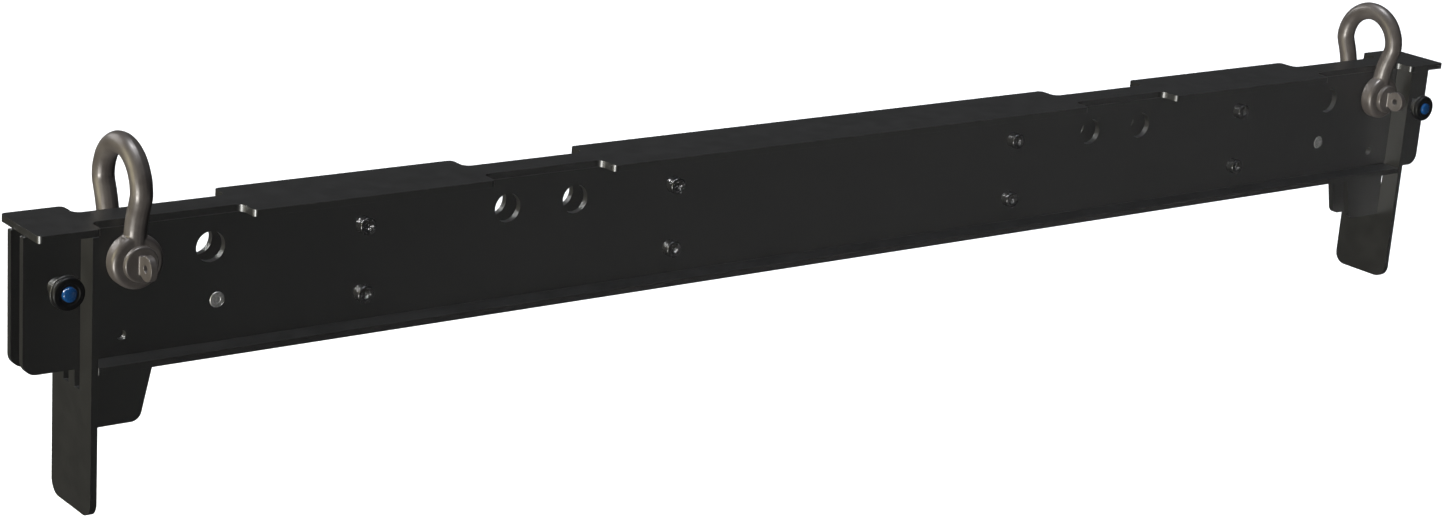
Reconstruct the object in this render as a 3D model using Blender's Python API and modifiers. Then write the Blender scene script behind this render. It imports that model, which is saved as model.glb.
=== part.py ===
"""Adjustable lifting spreader beam, modelled in metres with +Z up.

The beam runs along X. The origin is the centre of the top plate's upper face, so everything but
the shackle bows lies below z = 0. The front of the beam, with the screw heads and the lock-pin
knobs, faces -Y. Each physical piece is one object, and its own material carries its finish.
"""

import math

import bmesh
import bpy
from mathutils import Matrix, Vector

MM = 0.001
GAP = 0.3 * MM              # space left between pieces that touch on the real beam
PLATE = 5 * MM              # thickness of every steel plate

# Top plate: wide panels joined by narrow ones that leave room for the shackle limbs.
TOP_HALF_LENGTH = 705 * MM
WIDE_HALF = 30 * MM
NARROW_HALF = 12 * MM
WIDTH_CHANGES = (245 * MM, 350.5 * MM, 546.5 * MM, 660 * MM)
CONVEX_RADIUS = 4 * MM
CONCAVE_RADIUS = 6 * MM

# Side plates: two webs standing on edge with a clear space between them.
SIDE_HALF_LENGTH = 707.5 * MM
SIDE_INNER_Y = 7 * MM
SIDE_OUTER_Y = SIDE_INNER_Y + PLATE
SIDE_MIDDLE_Y = (SIDE_INNER_Y + SIDE_OUTER_Y) / 2
SIDE_TOP_Z = -PLATE - GAP
SIDE_BOTTOM_Z = -PLATE - 97 * MM
SIDE_END_RADIUS = 10 * MM

# Gussets: the part of each side plate that reaches down inside each leg.
GUSSET_TOP_X = 611 * MM
GUSSET_FOOT_X = 621.5 * MM
GUSSET_BOTTOM_Z = -PLATE - 141.5 * MM
GUSSET_RADIUS = 8 * MM
GUSSET_FILLET = 3 * MM

# Legs: slotted plates that stand across both ends of the beam.
LEG_X = 664 * MM
LEG_BOTTOM_Z = -PLATE - 200 * MM
LEG_RADIUS = 11 * MM
LEG_INNER_X = LEG_X - PLATE / 2 - GAP
SLOT_INNER_Y = 4.5 * MM
SLOT_OUTER_Y = SIDE_OUTER_Y + GAP
SLOT_BOTTOM_Z = -PLATE - 112 * MM

# Holes in the side plates.
SHACKLE_HOLE_RADIUS = 11 * MM
SHACKLE_Z = -PLATE - 23 * MM
SHACKLE_X = 631 * MM
SPARE_HOLES_X = (267 * MM, 327 * MM, 570 * MM)
CROSS_PIN_RADIUS = 5.5 * MM
CROSS_PIN_X = 564 * MM
CROSS_PIN_Z = -PLATE - 62 * MM
LANYARD_HOLE_RADIUS = 3.5 * MM
LANYARD_HOLE_X = 636 * MM
LANYARD_HOLE_Z = -PLATE - 77.5 * MM

# M8 socket screws that clamp the side plates against their spacers.
SCREW_COLUMNS = {"outer": 449.5 * MM, "inner": 176.5 * MM}
SCREW_ROWS = {"upper": -PLATE - 21 * MM, "lower": -PLATE - 71.5 * MM}
SCREW_RADIUS = 4 * MM
SCREW_HOLE_RADIUS = 4.6 * MM
HEAD_RADIUS = 6.5 * MM
HEAD_HEIGHT = 8 * MM
HEAD_CHAMFER = 0.7 * MM
SOCKET_FLATS = 6 * MM
SOCKET_DEPTH = 4 * MM
SPACER_RADIUS = 7 * MM
WASHER_RADIUS = 8 * MM
WASHER_THICKNESS = 1.6 * MM
NUT_FLATS = 13 * MM
NUT_HEIGHT = 6.5 * MM
SCREW_END = 1.8 * MM         # thread showing past the nut

# Bow shackles of the 3.25 t size.
ROD_RADIUS = 8 * MM
BOW_RADIUS = 28.4 * MM
BOW_CENTRE_Z = 48 * MM       # above the shackle pin
LIMB_LEAVE = 6 * MM          # how far the limbs run straight down below the bow's centre
LIMB_ARRIVE_Z = 32 * MM      # height at which they are heading straight for the eyes
EYE_RADIUS = 19.3 * MM
EYE_INNER_Y = 13 * MM
EYE_OUTER_Y = 27 * MM
EYE_CHAMFER = 2.5 * MM
LIMB_START_Z = 15 * MM
SHACKLE_PIN_RADIUS = 9.5 * MM
SHACKLE_BORE_RADIUS = 9.9 * MM
COLLAR_RADIUS = 12.5 * MM
COLLAR_THICKNESS = 4.5 * MM
TAB_RADIUS = 8.8 * MM
TAB_CENTRE_Y = 40.5 * MM     # in front of the mid-plane
TAB_ROOT_HALF = 6.5 * MM
TAB_THICKNESS = 5 * MM
TAB_HOLE_RADIUS = 2.5 * MM

# Quick-release lock pins at both ends.
LOCK_X = 684 * MM
LOCK_Z = -PLATE - 36.4 * MM
LOCK_RADIUS = 5 * MM
LOCK_HOLE_RADIUS = 5.4 * MM
LOCK_TIP = 19 * MM           # how far the shank reaches behind the beam's mid-plane
NECK_RADIUS = 6.5 * MM
KNOB_RADIUS = 12 * MM
KNOB_BACK = 26.5 * MM        # distances in front of the mid-plane
KNOB_FRONT = 28.8 * MM
FACE_FRONT = 33 * MM
FACE_RADIUS = 11.6 * MM
BUTTON_RADIUS = 5 * MM
BUTTON_BORE_RADIUS = 5.4 * MM
BUTTON_BACK = 29.8 * MM
BUTTON_EDGE = 33.8 * MM
BUTTON_DOME = 1.5 * MM
BUTTON_TRAVEL = 3 * MM

ARC_STEPS = 4
LARGE_SIDES = 24
SMALL_SIDES = 16

# Base colour, roughness and metallic value of each finish.
FINISHES = {
    "black_coating": ((0.022, 0.022, 0.024), 0.55, 0.3),
    "blackened_screw": ((0.018, 0.018, 0.018), 0.40, 0.8),
    "zinc": ((0.42, 0.42, 0.40), 0.38, 1.0),
    "forged_steel": ((0.165, 0.135, 0.122), 0.42, 1.0),
    "bright_steel": ((0.55, 0.55, 0.55), 0.25, 1.0),
    "black_plastic": ((0.010, 0.010, 0.011), 0.45, 0.0),
    "blue_button": ((0.006, 0.030, 0.140), 0.25, 0.2),
}

UPRIGHT_XZ = Matrix.Rotation(math.pi / 2, 4, "X")          # local x, y, z -> X, Z, -Y
UPRIGHT_YZ = Matrix.Rotation(math.pi / 2, 4, "Z") @ UPRIGHT_XZ   # local x, y, z -> Y, Z, X
SIDES = {"left": -1, "right": 1}


def clear_scene():
    for old in list(bpy.data.objects):
        bpy.data.objects.remove(old, do_unlink=True)


def new_collection(name):
    collection = bpy.data.collections.new(name)
    bpy.context.scene.collection.children.link(collection)
    return collection


def new_material(name, finish):
    color, roughness, metallic = FINISHES[finish]
    material = bpy.data.materials.new(name)
    material.use_nodes = True
    shader = material.node_tree.nodes["Principled BSDF"]
    shader.inputs["Base Color"].default_value = (*color, 1.0)
    shader.inputs["Roughness"].default_value = roughness
    shader.inputs["Metallic"].default_value = metallic
    return material


def add_piece(name, mesh, finish, place=(0, 0, 0)):
    """Put a finished mesh in the parts collection under its own name and material."""
    mesh = mesh.copy()
    mesh.name = name
    mesh.materials.clear()
    mesh.materials.append(new_material(name + "_finish", finish))
    piece = bpy.data.objects.new(name, mesh)
    piece.location = place
    PARTS.objects.link(piece)
    return piece


# ---- outlines -------------------------------------------------------------------------------

def rounded(corners):
    """Points of a closed outline whose corners, given as (x, y, radius), are rounded off."""
    points = []
    for index, (x, y, radius) in enumerate(corners):
        here = Vector((x, y))
        if radius == 0:
            points.append(here)
            continue
        back = (Vector(corners[index - 1][:2]) - here).normalized()
        ahead = (Vector(corners[(index + 1) % len(corners)][:2]) - here).normalized()
        half = back.angle(ahead) / 2
        centre = here + (back + ahead).normalized() * (radius / math.sin(half))
        first = here + back * (radius / math.tan(half)) - centre
        last = here + ahead * (radius / math.tan(half)) - centre
        start = math.atan2(first.y, first.x)
        turn = (math.atan2(last.y, last.x) - start + math.pi) % math.tau - math.pi
        for step in range(ARC_STEPS + 1):
            angle = start + turn * step / ARC_STEPS
            points.append(centre + radius * Vector((math.cos(angle), math.sin(angle))))
    return points


def ring(x, y, radius, sides, phase=0.0):
    angles = [phase + math.tau * step / sides for step in range(sides)]
    return [Vector((x + radius * math.cos(a), y + radius * math.sin(a))) for a in angles]


def mirrored(half):
    """Close an outline that is given for x > 0 with its mirror image."""
    return half + [(-x, y, radius) for x, y, radius in reversed(half)]


# ---- meshes ---------------------------------------------------------------------------------

def evaluated_mesh(piece):
    """The object's shape with its modifiers as a new mesh; the object itself is removed."""
    bpy.context.view_layer.update()
    graph = bpy.context.evaluated_depsgraph_get()
    mesh = bpy.data.meshes.new_from_object(piece.evaluated_get(graph))
    mesh.transform(piece.matrix_world)
    bpy.data.objects.remove(piece, do_unlink=True)
    return mesh


def weld(mesh):
    work = bmesh.new()
    work.from_mesh(mesh)
    bmesh.ops.remove_doubles(work, verts=work.verts, dist=0.01 * MM)
    bmesh.ops.recalc_face_normals(work, faces=work.faces)
    work.to_mesh(mesh)
    work.free()
    return mesh


def work_object(name, data):
    piece = bpy.data.objects.new(name, data)
    bpy.context.scene.collection.objects.link(piece)
    return piece


def sheet_mesh(name, outline, thickness, holes=()):
    """A flat plate cut to an outline, centred on its own thickness."""
    curve = bpy.data.curves.new(name, "CURVE")
    curve.dimensions = "2D"
    curve.fill_mode = "BOTH"
    curve.extrude = thickness / 2
    for points in (outline, *holes):
        spline = curve.splines.new("POLY")
        spline.points.add(len(points) - 1)
        spline.use_cyclic_u = True
        for point, (x, y) in zip(spline.points, points):
            point.co = (x, y, 0, 1)
    return weld(evaluated_mesh(work_object(name, curve)))


def turned_mesh(name, profile, sides, closed=False):
    """A lathe shape about +Z from (radius, height) points, listed from the top down its outside."""
    mesh = bpy.data.meshes.new(name)
    edges = [(index, index + 1) for index in range(len(profile) - 1)]
    if closed:
        edges.append((len(profile) - 1, 0))
    mesh.from_pydata([(radius, 0, height) for radius, height in profile], edges, [])
    piece = work_object(name, mesh)
    screw = piece.modifiers.new("Turn", "SCREW")
    screw.axis = "Z"
    screw.angle = math.tau
    screw.steps = sides
    screw.render_steps = sides
    screw.use_merge_vertices = True
    screw.merge_threshold = 0.01 * MM
    return weld(evaluated_mesh(piece))


def tube_mesh(name, path, radius):
    """A round rod of one radius along a path, with filled ends."""
    curve = bpy.data.curves.new(name, "CURVE")
    curve.dimensions = "3D"
    curve.bevel_depth = radius
    curve.bevel_resolution = 4
    curve.use_fill_caps = True
    spline = curve.splines.new("POLY")
    spline.points.add(len(path) - 1)
    for point, place in zip(spline.points, path):
        point.co = (*place, 1)
    return weld(evaluated_mesh(work_object(name, curve)))


def combined(base, tool, operation):
    """The Boolean result of two closed meshes."""
    piece = work_object("base", base)
    cutter = work_object("tool", tool)
    boolean = piece.modifiers.new(operation.title(), "BOOLEAN")
    boolean.operation = operation
    boolean.object = cutter
    mesh = evaluated_mesh(piece)
    bpy.data.objects.remove(cutter, do_unlink=True)
    return mesh


def placed(mesh, matrix):
    mesh.transform(matrix)
    return mesh


# ---- plates ---------------------------------------------------------------------------------

def build_top_plate():
    first, second, third, fourth = WIDTH_CHANGES
    front = [
        (first, -WIDE_HALF, CONVEX_RADIUS),
        (first, -NARROW_HALF, CONCAVE_RADIUS),
        (second, -NARROW_HALF, CONCAVE_RADIUS),
        (second, -WIDE_HALF, CONVEX_RADIUS),
        (third, -WIDE_HALF, CONVEX_RADIUS),
        (third, -NARROW_HALF, CONCAVE_RADIUS),
        (fourth, -NARROW_HALF, CONCAVE_RADIUS),
        (fourth, -WIDE_HALF, CONVEX_RADIUS),
        (TOP_HALF_LENGTH, -WIDE_HALF, CONVEX_RADIUS),
    ]
    back = [(x, -y, radius) for x, y, radius in reversed(front)]
    mesh = sheet_mesh("top_plate", rounded(mirrored(front + back)), PLATE)
    add_piece("top_plate", mesh, "black_coating", (0, 0, -PLATE / 2))


def side_plate_outline():
    half = [
        (SIDE_HALF_LENGTH, SIDE_TOP_Z, 0),
        (SIDE_HALF_LENGTH, SIDE_BOTTOM_Z, SIDE_END_RADIUS),
        (LEG_INNER_X, SIDE_BOTTOM_Z, 0),
        (LEG_INNER_X, GUSSET_BOTTOM_Z, 0),
        (GUSSET_FOOT_X, GUSSET_BOTTOM_Z, GUSSET_RADIUS),
        (GUSSET_TOP_X, SIDE_BOTTOM_Z, GUSSET_FILLET),
    ]
    return rounded(mirrored(half))


def side_plate_holes():
    holes = []
    for side in SIDES.values():
        for x in (*SPARE_HOLES_X, SHACKLE_X):
            holes.append(ring(side * x, SHACKLE_Z, SHACKLE_HOLE_RADIUS, LARGE_SIDES))
        for x in SCREW_COLUMNS.values():
            for z in SCREW_ROWS.values():
                holes.append(ring(side * x, z, SCREW_HOLE_RADIUS, SMALL_SIDES))
        holes.append(ring(side * CROSS_PIN_X, CROSS_PIN_Z, CROSS_PIN_RADIUS + GAP, SMALL_SIDES))
        holes.append(ring(side * LANYARD_HOLE_X, LANYARD_HOLE_Z, LANYARD_HOLE_RADIUS, SMALL_SIDES))
        holes.append(ring(side * LOCK_X, LOCK_Z, LOCK_HOLE_RADIUS, SMALL_SIDES))
    return holes


def build_side_plates():
    mesh = sheet_mesh("side_plate", side_plate_outline(), PLATE, side_plate_holes())
    placed(mesh, UPRIGHT_XZ)
    add_piece("front_side_plate", mesh, "black_coating", (0, -SIDE_MIDDLE_Y, 0))
    add_piece("back_side_plate", mesh, "black_coating", (0, SIDE_MIDDLE_Y, 0))


def build_flanges():
    half_width = (WIDE_HALF - SIDE_OUTER_Y - GAP) / 2
    outline = [(x * LEG_INNER_X, y * half_width) for x, y in ((-1, -1), (1, -1), (1, 1), (-1, 1))]
    mesh = sheet_mesh("flange", outline, PLATE)
    place = WIDE_HALF - half_width
    add_piece("front_flange", mesh, "black_coating", (0, -place, SIDE_BOTTOM_Z + PLATE / 2))
    add_piece("back_flange", mesh, "black_coating", (0, place, SIDE_BOTTOM_Z + PLATE / 2))


def build_legs():
    half = [
        (WIDE_HALF, LEG_BOTTOM_Z, LEG_RADIUS),
        (WIDE_HALF, SIDE_TOP_Z, 0),
        (SLOT_OUTER_Y, SIDE_TOP_Z, 0),
        (SLOT_OUTER_Y, SLOT_BOTTOM_Z, 0),
        (SLOT_INNER_Y, SLOT_BOTTOM_Z, 0),
        (SLOT_INNER_Y, SIDE_TOP_Z, 0),
    ]
    mesh = sheet_mesh("leg", rounded(mirrored(half)), PLATE)
    placed(mesh, UPRIGHT_YZ)
    for name, side in SIDES.items():
        add_piece(name + "_leg", mesh, "black_coating", (side * LEG_X, 0, 0))


# ---- screws and pins through the side plates --------------------------------------------------

def hexagon(flats):
    return ring(0, 0, flats / math.sqrt(3), 6)


def screw_mesh():
    seat = SIDE_OUTER_Y + GAP
    top = seat + HEAD_HEIGHT
    end = -seat - WASHER_THICKNESS - NUT_HEIGHT - GAP - SCREW_END
    profile = [
        (0, top),
        (HEAD_RADIUS - HEAD_CHAMFER, top),
        (HEAD_RADIUS, top - HEAD_CHAMFER),
        (HEAD_RADIUS, seat),
        (SCREW_RADIUS, seat),
        (SCREW_RADIUS, end),
        (0, end),
    ]
    socket = sheet_mesh("socket", hexagon(SOCKET_FLATS), 2 * SOCKET_DEPTH)
    placed(socket, Matrix.Translation((0, 0, top)))
    return combined(turned_mesh("screw", profile, SMALL_SIDES), socket, "DIFFERENCE")


def tube_profile(inner, outer, top, bottom):
    return [(inner, top), (outer, top), (outer, bottom), (inner, bottom)]


def build_screws():
    seat = -SIDE_OUTER_Y - GAP
    nut_middle = seat - WASHER_THICKNESS - GAP - NUT_HEIGHT / 2
    spacer = tube_profile(SCREW_HOLE_RADIUS, SPACER_RADIUS, SIDE_INNER_Y - GAP, GAP - SIDE_INNER_Y)
    washer = tube_profile(SCREW_HOLE_RADIUS, WASHER_RADIUS, seat, seat - WASHER_THICKNESS)
    nut_bore = ring(0, 0, SCREW_HOLE_RADIUS, SMALL_SIDES)
    nut = sheet_mesh("nut", hexagon(NUT_FLATS), NUT_HEIGHT, [nut_bore])
    placed(nut, Matrix.Translation((0, 0, nut_middle)))
    meshes = {
        "screw": (screw_mesh(), "blackened_screw"),
        "spacer": (turned_mesh("spacer", spacer, SMALL_SIDES, closed=True), "zinc"),
        "washer": (turned_mesh("washer", washer, SMALL_SIDES, closed=True), "zinc"),
        "nut": (nut, "zinc"),
    }
    for kind, (mesh, finish) in meshes.items():
        placed(mesh, UPRIGHT_XZ)
        for side_name, side in SIDES.items():
            for column, x in SCREW_COLUMNS.items():
                for row, z in SCREW_ROWS.items():
                    name = f"{side_name}_{column}_{row}_{kind}"
                    add_piece(name, mesh, finish, (side * x, 0, z))


def build_cross_pins():
    chamfer = 0.4 * MM
    profile = [
        (0, SIDE_OUTER_Y),
        (CROSS_PIN_RADIUS - chamfer, SIDE_OUTER_Y),
        (CROSS_PIN_RADIUS, SIDE_OUTER_Y - chamfer),
        (CROSS_PIN_RADIUS, chamfer - SIDE_OUTER_Y),
        (CROSS_PIN_RADIUS - chamfer, -SIDE_OUTER_Y),
        (0, -SIDE_OUTER_Y),
    ]
    mesh = placed(turned_mesh("cross_pin", profile, SMALL_SIDES), UPRIGHT_XZ)
    for name, side in SIDES.items():
        add_piece(name + "_cross_pin", mesh, "zinc", (side * CROSS_PIN_X, 0, CROSS_PIN_Z))


# ---- shackles -------------------------------------------------------------------------------

def limb_path():
    """Centreline of one limb, from its eye up to where the bow's arc begins."""
    eye_y = (EYE_INNER_Y + EYE_OUTER_Y) / 2
    ends = (
        Vector((0, eye_y, LIMB_START_Z)),
        Vector((0, eye_y, LIMB_ARRIVE_Z)),
        Vector((0, BOW_RADIUS, BOW_CENTRE_Z - LIMB_LEAVE)),
        Vector((0, BOW_RADIUS, BOW_CENTRE_Z)),
    )
    steps = 6
    path = []
    for step in range(steps):
        t = step / steps
        weights = ((1 - t) ** 3, 3 * t * (1 - t) ** 2, 3 * t ** 2 * (1 - t), t ** 3)
        path.append(sum((end * weight for end, weight in zip(ends, weights)), Vector((0, 0, 0))))
    return path


def bow_path():
    """Centreline of the bow in its own plane, from one eye over the crown to the other."""
    limb = limb_path()
    steps = 16
    crown = []
    for step in range(steps + 1):
        angle = math.pi * step / steps
        crown.append(Vector((0, math.cos(angle), math.sin(angle))) * BOW_RADIUS)
        crown[-1].z += BOW_CENTRE_Z
    return limb + crown + [Vector((0, -point.y, point.z)) for point in reversed(limb)]


def bow_mesh():
    mesh = tube_mesh("bow", bow_path(), ROD_RADIUS)
    for end in (-1, 1):
        faces = sorted((end * EYE_INNER_Y, end * EYE_OUTER_Y), reverse=True)
        profile = [
            (0, faces[0]),
            (EYE_RADIUS - EYE_CHAMFER, faces[0]),
            (EYE_RADIUS, faces[0] - EYE_CHAMFER),
            (EYE_RADIUS, faces[1] + EYE_CHAMFER),
            (EYE_RADIUS - EYE_CHAMFER, faces[1]),
            (0, faces[1]),
        ]
        eye = placed(turned_mesh("eye", profile, LARGE_SIDES), UPRIGHT_XZ)
        mesh = combined(mesh, eye, "UNION")
    drill = [
        (0, 2 * EYE_OUTER_Y),
        (SHACKLE_BORE_RADIUS, 2 * EYE_OUTER_Y),
        (SHACKLE_BORE_RADIUS, -2 * EYE_OUTER_Y),
        (0, -2 * EYE_OUTER_Y),
    ]
    bore = placed(turned_mesh("bore", drill, LARGE_SIDES), UPRIGHT_XZ)
    return combined(mesh, bore, "DIFFERENCE")


def shackle_pin_mesh():
    chamfer = 1 * MM
    seat = EYE_OUTER_Y + GAP
    tip = -EYE_OUTER_Y - chamfer
    front = seat + COLLAR_THICKNESS
    profile = [
        (0, front),
        (COLLAR_RADIUS - chamfer, front),
        (COLLAR_RADIUS, front - chamfer),
        (COLLAR_RADIUS, seat),
        (SHACKLE_PIN_RADIUS, seat),
        (SHACKLE_PIN_RADIUS, tip + chamfer),
        (SHACKLE_PIN_RADIUS - chamfer, tip),
        (0, tip),
    ]
    body = placed(turned_mesh("shackle_pin", profile, LARGE_SIDES), UPRIGHT_XZ)
    root = -front + COLLAR_THICKNESS / 2
    centre = -TAB_CENTRE_Y
    first = math.asin(TAB_ROOT_HALF / TAB_RADIUS)
    steps = 20
    outline = [Vector((root, -TAB_ROOT_HALF)), Vector((root, TAB_ROOT_HALF))]
    for step in range(steps + 1):
        angle = first + (math.tau - 2 * first) * step / steps
        outline.append(Vector((centre + TAB_RADIUS * math.cos(angle), TAB_RADIUS * math.sin(angle))))
    hole = ring(centre, 0, TAB_HOLE_RADIUS, SMALL_SIDES)
    tab = placed(sheet_mesh("tab", outline, TAB_THICKNESS, [hole]), UPRIGHT_YZ)
    return combined(body, tab, "UNION")


def build_shackles():
    bow = bow_mesh()
    pin = shackle_pin_mesh()
    for name, side in SIDES.items():
        pivot = (side * SHACKLE_X, 0, SHACKLE_Z)
        add_piece(name + "_shackle_bow", bow, "forged_steel", pivot)
        add_piece(name + "_shackle_pin", pin, "forged_steel", pivot)


# ---- quick-release lock pins ------------------------------------------------------------------

def lock_pin_mesh():
    chamfer = 1 * MM
    seat = SIDE_OUTER_Y + GAP
    floor = BUTTON_BACK - BUTTON_TRAVEL - GAP
    profile = [
        (0, floor),
        (BUTTON_BORE_RADIUS, floor),
        (BUTTON_BORE_RADIUS, KNOB_FRONT),
        (KNOB_RADIUS, KNOB_FRONT),
        (KNOB_RADIUS, KNOB_BACK),
        (NECK_RADIUS, KNOB_BACK),
        (NECK_RADIUS, seat),
        (LOCK_RADIUS, seat),
        (LOCK_RADIUS, chamfer - LOCK_TIP),
        (LOCK_RADIUS - chamfer, -LOCK_TIP),
        (0, -LOCK_TIP),
    ]
    return placed(turned_mesh("lock_pin", profile, LARGE_SIDES), UPRIGHT_XZ)


def lock_face_mesh():
    chamfer = 1.2 * MM
    profile = [
        (BUTTON_BORE_RADIUS, FACE_FRONT),
        (FACE_RADIUS - chamfer, FACE_FRONT),
        (FACE_RADIUS, FACE_FRONT - chamfer),
        (FACE_RADIUS, KNOB_FRONT + GAP),
        (BUTTON_BORE_RADIUS, KNOB_FRONT + GAP),
    ]
    return placed(turned_mesh("lock_face", profile, LARGE_SIDES, closed=True), UPRIGHT_XZ)


def button_mesh():
    steps = 4
    dome = []
    for step in range(steps + 1):
        angle = math.pi / 2 * (1 - step / steps)
        radius = 0 if step == 0 else BUTTON_RADIUS * math.cos(angle)
        dome.append((radius, BUTTON_EDGE + BUTTON_DOME * math.sin(angle)))
    profile = dome + [(BUTTON_RADIUS, BUTTON_BACK), (0, BUTTON_BACK)]
    return placed(turned_mesh("button", profile, SMALL_SIDES), UPRIGHT_XZ)


def build_lock_pins():
    pin = lock_pin_mesh()
    face = lock_face_mesh()
    button = button_mesh()
    for name, side in SIDES.items():
        place = (side * LOCK_X, 0, LOCK_Z)
        add_piece(name + "_lock_pin", pin, "bright_steel", place)
        add_piece(name + "_lock_pin_face", face, "black_plastic", place)
        add_piece(name + "_lock_pin_button", button, "blue_button", place)


clear_scene()
PARTS = new_collection("spreader_beam")
build_top_plate()
build_side_plates()
build_flanges()
build_legs()
build_screws()
build_cross_pins()
build_shackles()
build_lock_pins()
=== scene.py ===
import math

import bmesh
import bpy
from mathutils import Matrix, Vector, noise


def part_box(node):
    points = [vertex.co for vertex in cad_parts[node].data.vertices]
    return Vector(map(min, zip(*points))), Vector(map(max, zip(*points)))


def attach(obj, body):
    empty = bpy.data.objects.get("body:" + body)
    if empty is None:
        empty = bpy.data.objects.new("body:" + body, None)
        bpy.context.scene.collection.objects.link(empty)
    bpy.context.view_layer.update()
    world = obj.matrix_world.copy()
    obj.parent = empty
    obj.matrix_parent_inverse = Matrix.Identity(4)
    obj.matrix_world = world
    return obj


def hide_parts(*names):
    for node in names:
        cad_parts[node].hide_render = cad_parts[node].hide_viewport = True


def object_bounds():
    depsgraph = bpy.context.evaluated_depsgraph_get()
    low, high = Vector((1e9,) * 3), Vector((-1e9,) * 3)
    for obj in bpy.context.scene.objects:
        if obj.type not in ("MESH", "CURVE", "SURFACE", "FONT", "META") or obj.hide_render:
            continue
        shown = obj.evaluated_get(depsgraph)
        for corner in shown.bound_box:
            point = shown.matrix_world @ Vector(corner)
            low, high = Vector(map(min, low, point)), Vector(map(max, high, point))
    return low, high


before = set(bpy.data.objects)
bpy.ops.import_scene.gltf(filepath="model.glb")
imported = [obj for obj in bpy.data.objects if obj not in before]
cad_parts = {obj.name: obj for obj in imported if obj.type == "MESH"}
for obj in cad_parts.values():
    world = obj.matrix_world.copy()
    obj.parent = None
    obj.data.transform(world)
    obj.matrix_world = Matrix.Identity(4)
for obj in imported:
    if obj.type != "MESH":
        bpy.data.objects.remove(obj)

# Looks for the spreader beam: every CAD node is replaced by a piece of the same size with rolled
# edges, threads, forged blends and a procedural finish. Lengths are in metres, in the CAD frame:
# X along the beam, Z up from the top plate's upper face, and the front facing -Y. Outlines are
# lists of corners, each given as (x, y, radius of its rounding).

cad_low, cad_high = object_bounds()

MM = 0.001
GAP = 0.3 * MM
UPRIGHT_XZ = Matrix.Rotation(math.pi / 2, 4, "X")                # local x, y, z -> X, Z, -Y
UPRIGHT_YZ = Matrix.Rotation(math.pi / 2, 4, "Z") @ UPRIGHT_XZ   # local x, y, z -> Y, Z, X
SIDES = {"left": -1, "right": 1}

# ---- sizes read from the frame ----------------------------------------------------------------

TOP_LOW, TOP_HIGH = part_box("top_plate")
WEB_LOW, WEB_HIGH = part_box("front_side_plate")
LEG_LOW, LEG_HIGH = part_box("right_leg")
PLATE = TOP_HIGH.z - TOP_LOW.z
WIDE_HALF = TOP_HIGH.y
SIDE_OUTER_Y = -WEB_LOW.y
SIDE_INNER_Y = -WEB_HIGH.y
LEG_X = (LEG_LOW.x + LEG_HIGH.x) / 2
LEG_INNER_X = LEG_LOW.x - GAP
FLANGE_LOW, FLANGE_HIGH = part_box("back_flange")
SIDE_BOTTOM_Z = FLANGE_LOW.z


def middle(node):
    low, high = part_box(node)
    return (low + high) / 2


CROSS_PIN = middle("right_cross_pin")
LOCK_PIN = middle("right_lock_pin")
SHACKLE_PIN = middle("right_shackle_pin")
SCREW_X = [middle(f"right_{column}_upper_screw").x for column in ("outer", "inner")]
SCREW_Z = [middle(f"right_outer_{row}_screw").z for row in ("upper", "lower")]

# ---- sizes that the frame's boxes don't show ----------------------------------------------------

NARROW_HALF = 12 * MM
WIDTH_CHANGES = (245 * MM, 350.5 * MM, 546.5 * MM, 660 * MM)
CONVEX_RADIUS = 4 * MM
CONCAVE_RADIUS = 6 * MM
SIDE_END_RADIUS = 10 * MM
GUSSET_TOP_X = 611 * MM
GUSSET_FOOT_X = 621.5 * MM
GUSSET_RADIUS = 8 * MM
GUSSET_FILLET = 3 * MM
LEG_RADIUS = 11 * MM
SLOT_INNER_Y = 4.5 * MM
SLOT_OUTER_Y = SIDE_OUTER_Y + GAP
SLOT_BOTTOM_Z = SIDE_BOTTOM_Z - 15 * MM
SHACKLE_HOLE_RADIUS = 11 * MM
SPARE_HOLES_X = (267 * MM, 327 * MM, 570 * MM)
CROSS_PIN_RADIUS = 5.5 * MM
LANYARD_HOLE_RADIUS = 3.5 * MM
LANYARD_HOLE_X = 636 * MM
LANYARD_HOLE_Z = -82.5 * MM
LOCK_HOLE_RADIUS = 5.4 * MM
SCREW_HOLE_RADIUS = 4.6 * MM
EDGE = 0.45 * MM             # rolled edge of the coated plates

ARC_STEPS = 10
ROUND_SIDES = 96
HOLE_SIDES = 72
SMALL_HOLE_SIDES = 48
SCREW_HOLE_SIDES = 32
MERGE_DISTANCE = 0.005 * MM


# ---- outlines -------------------------------------------------------------------------------

def rounded(corners, steps=ARC_STEPS, closed=True):
    """Points of an outline whose corners, given as (x, y, radius), are rounded off."""
    points = []
    last = len(corners) - 1
    for index, (x, y, radius) in enumerate(corners):
        here = Vector((x, y))
        if radius == 0 or (not closed and index in (0, last)):
            points.append(here)
            continue
        back = (Vector(corners[index - 1][:2]) - here).normalized()
        ahead = (Vector(corners[(index + 1) % len(corners)][:2]) - here).normalized()
        half = back.angle(ahead) / 2
        centre = here + (back + ahead).normalized() * (radius / math.sin(half))
        first = here + back * (radius / math.tan(half)) - centre
        final = here + ahead * (radius / math.tan(half)) - centre
        start = math.atan2(first.y, first.x)
        turn = (math.atan2(final.y, final.x) - start + math.pi) % math.tau - math.pi
        for step in range(steps + 1):
            angle = start + turn * step / steps
            points.append(centre + radius * Vector((math.cos(angle), math.sin(angle))))
    return points


def ring(x, y, radius, sides=HOLE_SIDES):
    angles = [math.tau * step / sides for step in range(sides)]
    return [Vector((x + radius * math.cos(a), y + radius * math.sin(a))) for a in angles]


def mirrored(half):
    return half + [(-x, y, radius) for x, y, radius in reversed(half)]


def hexagon(flats):
    return ring(0, 0, flats / math.sqrt(3), 6)


# ---- meshes ---------------------------------------------------------------------------------

def work_object(name, data):
    piece = bpy.data.objects.new(name, data)
    bpy.context.scene.collection.objects.link(piece)
    return piece


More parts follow.
